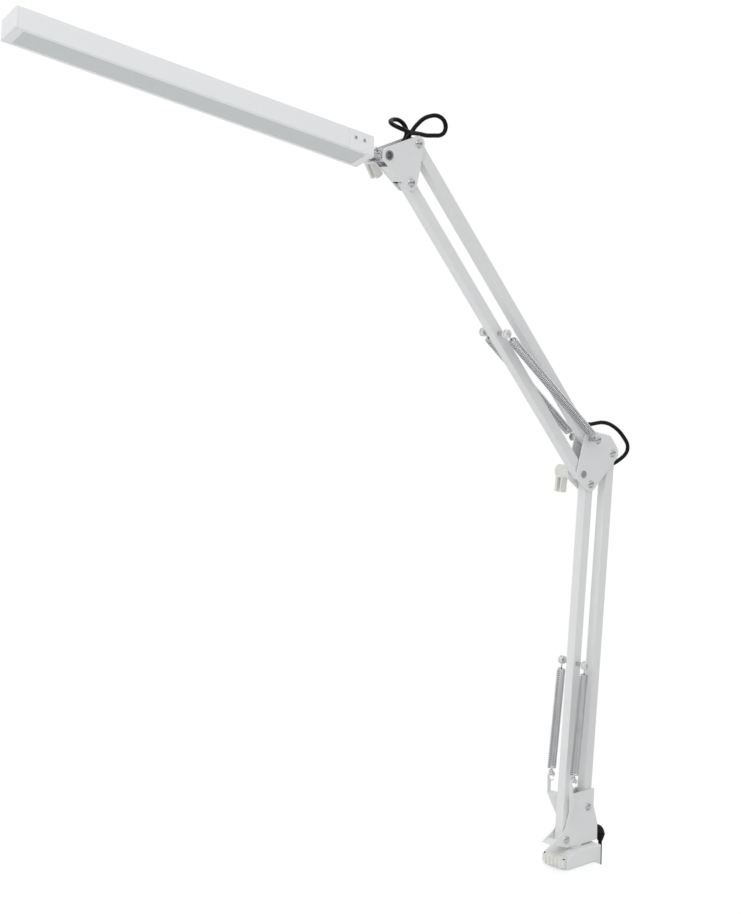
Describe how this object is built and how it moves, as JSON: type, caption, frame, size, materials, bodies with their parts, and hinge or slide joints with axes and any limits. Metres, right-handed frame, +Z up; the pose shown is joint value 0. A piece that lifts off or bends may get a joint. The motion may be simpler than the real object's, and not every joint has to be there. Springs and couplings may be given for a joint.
{
  "type": "led desk lamp",
  "caption": "Clamp-on desk lamp with a long slim LED bar on a sprung double parallelogram arm of square tubes, shown with the elbow raised and its lead looped at both joints.",
  "frame": {"origin": "desk top surface under the clamp's upper jaw, on the swivel axis", "axes": "+Z up along the swivel axis; the arm works in the XZ plane with the light towards -X; the picture's camera looks from -X and -Y"},
  "size_m": [0.7035, 0.0872, 1.0071],
  "materials": {
    "white_paint": "satin white powder coat",
    "head_paint": "fine satin white coat on aluminium",
    "cream_plastic": "slightly warm white moulded plastic",
    "white_nylon": "plain nylon",
    "plated_steel": "bright zinc plated",
    "spring_steel": "plated spring wire",
    "dark_steel": "blackened",
    "black_plastic": "moulded",
    "cord_jacket": "smooth black jacket",
    "tie_fabric": "woven hook and loop",
    "diffuser": "opal",
    "board_aluminium": "white solder mask on aluminium",
    "chip_plastic": "phosphor"
  },
  "bodies": {
    "clamp": {"clamp_frame": "white_paint", "clamp_insert": "cream_plastic", "insert_pins": "dark_steel", "swivel_bush": "white_nylon", "lead_drop": "cord_jacket", "lead_coil": "cord_jacket", "coil_tie": "tie_fabric", "power_plug": "black_plastic"},
    "pad": {"pressure_pad": "black_plastic"},
    "screw": {"clamp_screw": "plated_steel"},
    "handle": {"clamp_handle": "plated_steel"},
    "base": {"swivel_pin": "plated_steel", "base_bracket": "white_paint", "base_rivets": "plated_steel", "base_washers": "white_nylon", "strain_relief": "black_plastic", "lower_spring_front": "spring_steel", "lower_spring_back": "spring_steel"},
    "lower_front": {"lower_front_tube": "white_paint", "lower_spring_pin": "plated_steel", "lower_pin_caps": "white_nylon"},
    "lower_rear": {"lower_rear_tube": "white_paint"},
    "elbow": {"elbow_front_plate": "white_paint", "elbow_back_plate": "white_paint", "elbow_rivets": "plated_steel", "elbow_spring_pin": "plated_steel", "elbow_bolt": "plated_steel", "elbow_washers": "white_nylon", "upper_spring_front": "spring_steel", "upper_spring_back": "spring_steel", "elbow_cord": "cord_jacket"},
    "elbow_wing": {"elbow_knob": "cream_plastic"},
    "upper_front": {"upper_front_tube": "white_paint", "upper_spring_pin": "plated_steel", "upper_pin_caps": "white_nylon"},
    "upper_rear": {"upper_rear_tube": "white_paint"},
    "head_carrier": {"head_bracket": "white_paint", "head_rivets": "plated_steel", "head_washers": "white_nylon", "head_bush": "plated_steel", "head_loop": "cord_jacket"},
    "head_wing": {"head_knob": "cream_plastic", "head_knob_stud": "plated_steel"},
    "link": {"head_link": "plated_steel"},
    "fork": {"head_fork": "plated_steel", "pivot_screw": "plated_steel"},
    "bar": {"end_block": "head_paint", "end_block_screws": "plated_steel", "housing": "head_paint", "end_cap": "head_paint", "diffuser": "diffuser", "led_board": "board_aluminium", "led_chips": "chip_plastic"}
  },
  "joints": [
    {"name": "pad_slide", "type": "slide", "parent": "clamp", "child": "pad", "axis": [0, 0, 1], "range_m": [-0.03, 0.02]},
    {"name": "screw_turn", "type": "hinge", "parent": "pad", "child": "screw", "pos_m": [-0.004, 0, -0.06], "axis": [0, 0, 1], "range_deg": [-5400, 3600]},
    {"name": "handle_slide", "type": "slide", "parent": "screw", "child": "handle", "axis": [0, 1, 0], "range_m": [-0.019, 0.019]},
    {"name": "base_swivel", "type": "hinge", "parent": "clamp", "child": "base", "pos_m": [0, 0, 0.016], "axis": [0, 0, 1], "range_deg": [-90, 90], "deforming": ["lead_drop"]},
    {"name": "lower_tilt", "type": "hinge", "parent": "base", "child": "lower_front", "pos_m": [-0.016, 0, 0.027], "axis": [0, 1, 0], "range_deg": [-54, 20], "deforming": ["lower_spring_front", "lower_spring_back"]},
    {"name": "lower_rear_tilt", "type": "hinge", "parent": "base", "child": "lower_rear", "pos_m": [0.0145, 0, 0.055], "axis": [0, 1, 0], "range_deg": [-54, 20]},
    {"name": "elbow_level", "type": "hinge", "parent": "lower_front", "child": "elbow", "pos_m": [0.01037, 0, 0.38603], "axis": [0, 1, 0], "range_deg": [-20, 54], "deforming": ["elbow_cord"]},
    {"name": "elbow_knob_turn", "type": "hinge", "parent": "elbow", "child": "elbow_wing", "pos_m": [-0.00013, 0.02, 0.39703], "axis": [0, 1, 0], "continuous": true},
    {"name": "upper_tilt", "type": "hinge", "parent": "elbow", "child": "upper_front", "pos_m": [-0.00013, 0, 0.39703], "axis": [0, 1, 0], "range_deg": [-70, 28], "deforming": ["upper_spring_front", "upper_spring_back"]},
    {"name": "upper_rear_tilt", "type": "hinge", "parent": "elbow", "child": "upper_rear", "pos_m": [0.00837, 0, 0.43103], "axis": [0, 1, 0], "range_deg": [-70, 28]},
    {"name": "head_level", "type": "hinge", "parent": "upper_front", "child": "head_carrier", "pos_m": [-0.22424, 0, 0.67877], "axis": [0, 1, 0], "range_deg": [-28, 70], "deforming": ["head_loop"]},
    {"name": "head_knob_turn", "type": "hinge", "parent": "head_carrier", "child": "head_wing", "pos_m": [-0.24974, 0.02, 0.70227], "axis": [0, 1, 0], "continuous": true},
    {"name": "head_tilt", "type": "hinge", "parent": "head_carrier", "child": "link", "pos_m": [-0.24974, 0, 0.70227], "axis": [0, 1, 0], "range_deg": [-45, 45]},
    {"name": "head_roll", "type": "hinge", "parent": "link", "child": "fork", "pos_m": [-0.24974, 0, 0.70227], "axis": [1, 0, 0], "range_deg": [-60, 90]},
    {"name": "head_pitch", "type": "hinge", "parent": "fork", "child": "bar", "pos_m": [-0.26324, 0.00029, 0.70302], "axis": [0, 0.9317, -0.3633], "range_deg": [-60, 30]}
  ],
  "couplings": [
    {"joint": "screw_turn", "follows": "pad_slide", "rad_per_m": 3141.6},
    {"joint": "lower_rear_tilt", "follows": "lower_tilt", "ratio": 1},
    {"joint": "elbow_level", "follows": "lower_tilt", "ratio": -1},
    {"joint": "upper_rear_tilt", "follows": "upper_tilt", "ratio": 1},
    {"joint": "head_level", "follows": "upper_tilt", "ratio": -1}
  ]
}
